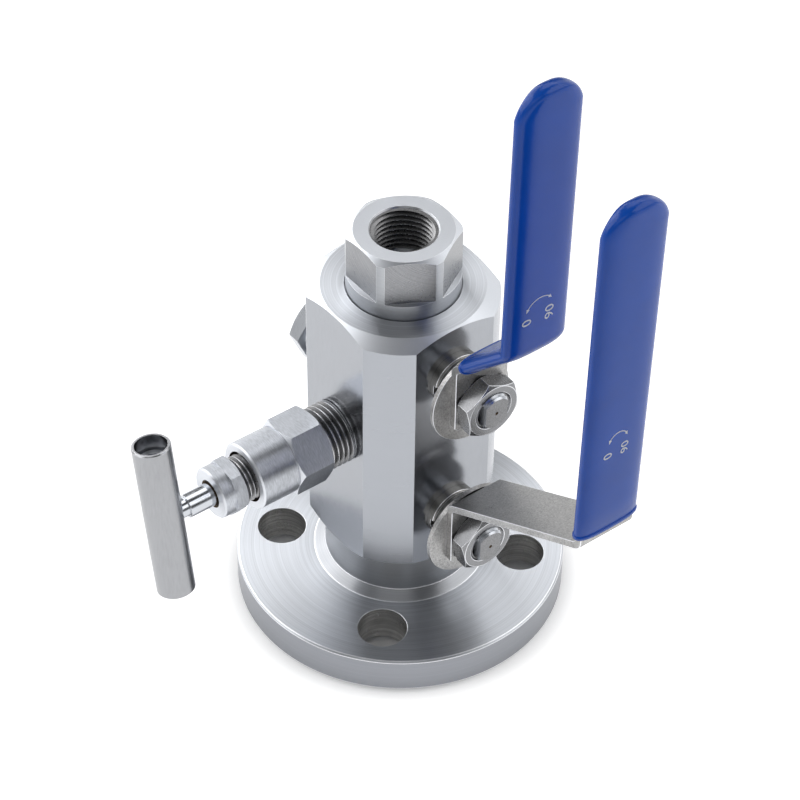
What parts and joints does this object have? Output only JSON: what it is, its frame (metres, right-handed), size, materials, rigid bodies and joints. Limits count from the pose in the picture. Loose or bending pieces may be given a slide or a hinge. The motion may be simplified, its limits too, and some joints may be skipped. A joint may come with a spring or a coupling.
{
  "type": "double block and bleed valve",
  "caption": "Flanged stainless block valve with a pair of lever-turned ball valves in line, a side needle valve with a T-bar to bleed between them, and a threaded outlet.",
  "frame": {"origin": "centre of the flange's raised face, where it meets the mating flange's gasket", "axes": "+Z along the flow axis from the flange to the threaded end; +X to the side of both ball valve stems; -Y to the side of the bleed valve; -X to the side of the vent plug"},
  "size_m": [0.1545, 0.149, 0.2383],
  "materials": {
    "body_steel": "satin machined",
    "turned_steel": "fine turned",
    "lever_steel": "bead blasted",
    "blue_vinyl": "satin dipped vinyl",
    "white_ptfe": "matte"
  },
  "bodies": {
    "body": {"valve_body": "body_steel", "flange_connector": "body_steel", "end_connector": "body_steel", "flange_seal": "white_ptfe", "end_seal": "white_ptfe", "lower_inlet_seat": "white_ptfe", "lower_outlet_seat": "white_ptfe", "upper_inlet_seat": "white_ptfe", "upper_outlet_seat": "white_ptfe", "lower_thrust_washer": "white_ptfe", "upper_thrust_washer": "white_ptfe", "lower_packing": "white_ptfe", "upper_packing": "white_ptfe", "lower_follower": "turned_steel", "upper_follower": "turned_steel", "lower_gland_nut": "turned_steel", "upper_gland_nut": "turned_steel", "lower_stop_pin": "lever_steel", "upper_stop_pin": "lever_steel", "bleed_bonnet": "turned_steel", "bleed_packing": "white_ptfe", "bleed_follower": "turned_steel", "bleed_gland_nut": "turned_steel", "vent_plug": "turned_steel"},
    "lower_valve": {"lower_ball": "turned_steel", "lower_stem": "turned_steel", "lower_stop_disc": "lever_steel", "lower_lever": "lever_steel", "lower_grip": "blue_vinyl", "lower_lever_nut": "lever_steel"},
    "upper_valve": {"upper_ball": "turned_steel", "upper_stem": "turned_steel", "upper_stop_disc": "lever_steel", "upper_lever": "lever_steel", "upper_grip": "blue_vinyl", "upper_lever_nut": "lever_steel"},
    "needle": {"bleed_needle": "turned_steel"},
    "bleed_handle": {"bleed_stem": "turned_steel", "t_bar": "turned_steel", "t_bar_screw": "lever_steel"}
  },
  "joints": [
    {"name": "lower_lever_turn", "type": "hinge", "parent": "body", "child": "lower_valve", "pos_m": [0.0365, 0, 0.05065], "axis": [-1, 0, 0], "range_deg": [0, 90]},
    {"name": "upper_lever_turn", "type": "hinge", "parent": "body", "child": "upper_valve", "pos_m": [0.0365, 0, 0.10795], "axis": [-1, 0, 0], "range_deg": [0, 90]},
    {"name": "needle_slide", "type": "slide", "parent": "body", "child": "needle", "axis": [0, -1, 0], "range_m": [0, 0.005]},
    {"name": "bleed_turn", "type": "hinge", "parent": "needle", "child": "bleed_handle", "pos_m": [0, -0.05, 0.0793], "axis": [0, -1, 0], "range_deg": [0, 1440]}
  ],
  "couplings": [
    {"joint": "needle_slide", "follows": "bleed_turn", "m_per_rad": 0.0001989}
  ]
}
